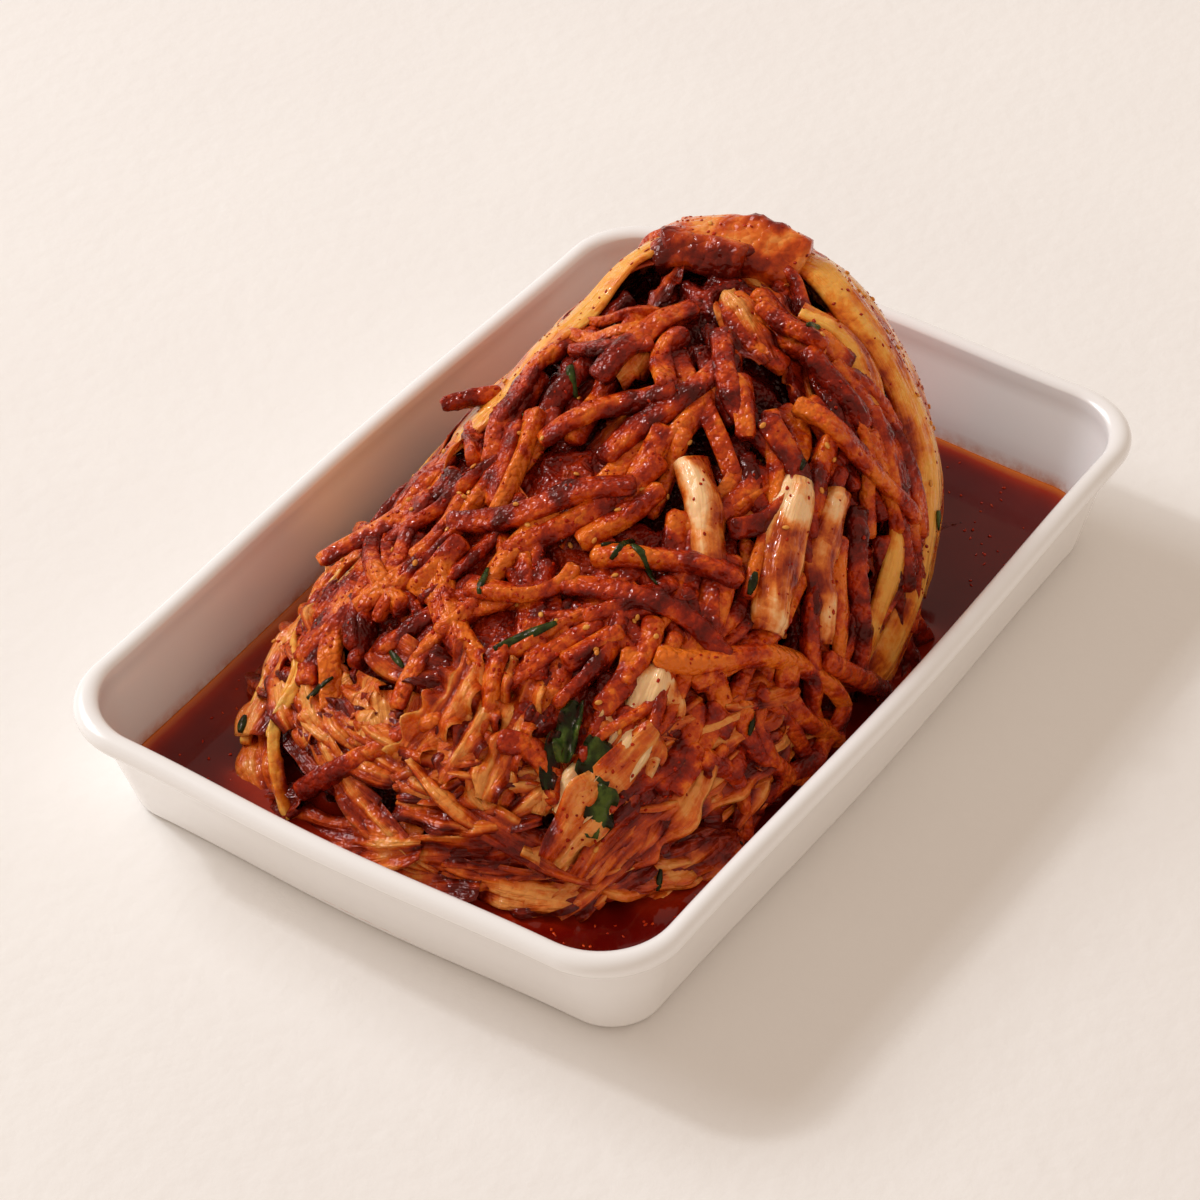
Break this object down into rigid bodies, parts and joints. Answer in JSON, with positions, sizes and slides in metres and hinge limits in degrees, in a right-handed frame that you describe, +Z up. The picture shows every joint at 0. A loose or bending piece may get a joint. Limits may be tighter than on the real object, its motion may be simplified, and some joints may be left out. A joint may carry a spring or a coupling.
{
  "type": "kimchi in a tray",
  "caption": "Heaped napa cabbage kimchi with radish strips, standing in red brine in a low white enamelled tray with a rolled rim.",
  "frame": {"origin": "middle of the tray's underside, where it stands", "axes": "+X along the tray from the leafy end to the root end of the cabbage, +Z up"},
  "size_m": [0.274, 0.186, 0.1013],
  "materials": {
    "white_enamel": "satin-gloss white vitreous enamel",
    "chilli_paste": "wet, oily chilli paste on radish strips and leaves",
    "brine": "clear dark red liquid with a mirror-smooth surface",
    "leaf_orange": "soft wet cabbage leaf stained orange",
    "stem_cream": "wet translucent cabbage rib, cream with red paste",
    "leaf_green": "wet olive-green leaf blade"
  },
  "bodies": {
    "root": {"tray": "white_enamel", "kimchi_heap": "chilli_paste", "brine": "brine", "leaf_right_outer": "leaf_orange", "leaf_right_inner": "stem_cream", "leaf_left_outer": "leaf_orange", "leaf_left_pale": "stem_cream", "leaf_left_low": "leaf_orange", "leaf_left_green": "leaf_green", "root_end": "leaf_orange", "stem_short": "stem_cream", "stem_long": "stem_cream", "leaf_heart": "stem_cream", "leaf_front_fold": "leaf_orange", "leaf_ruffle": "leaf_orange", "leaf_tip_left": "leaf_orange", "leaf_tip_front": "leaf_orange"}
  },
  "joints": []
}
